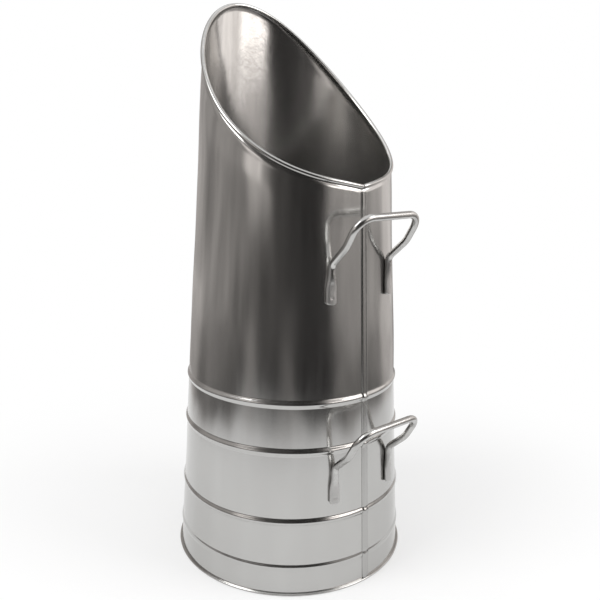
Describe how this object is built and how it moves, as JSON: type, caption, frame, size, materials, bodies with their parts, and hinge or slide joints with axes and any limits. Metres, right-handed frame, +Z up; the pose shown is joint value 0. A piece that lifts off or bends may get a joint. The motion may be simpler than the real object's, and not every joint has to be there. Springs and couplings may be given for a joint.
{
  "type": "coal hod",
  "caption": "Tapering round coal hod of bright sheet steel with a scooped wired mouth, swaged beads, a folded side seam and wire handles.",
  "frame": {"origin": "centre of the base disc, on the floor", "axes": "+Z up, -Y towards the seam, the low lip and both handles, +X to the right seen from the handles' side"},
  "size_m": [0.2296, 0.254, 0.5329],
  "materials": {
    "plated_sheet": "bright plated, polished",
    "plated_wire": "bright plated, drawn"
  },
  "bodies": {
    "root": {"body": "plated_sheet", "rim_wire": "plated_wire", "base": "plated_sheet", "upper_handle": "plated_wire", "lower_handle": "plated_wire"}
  },
  "joints": []
}
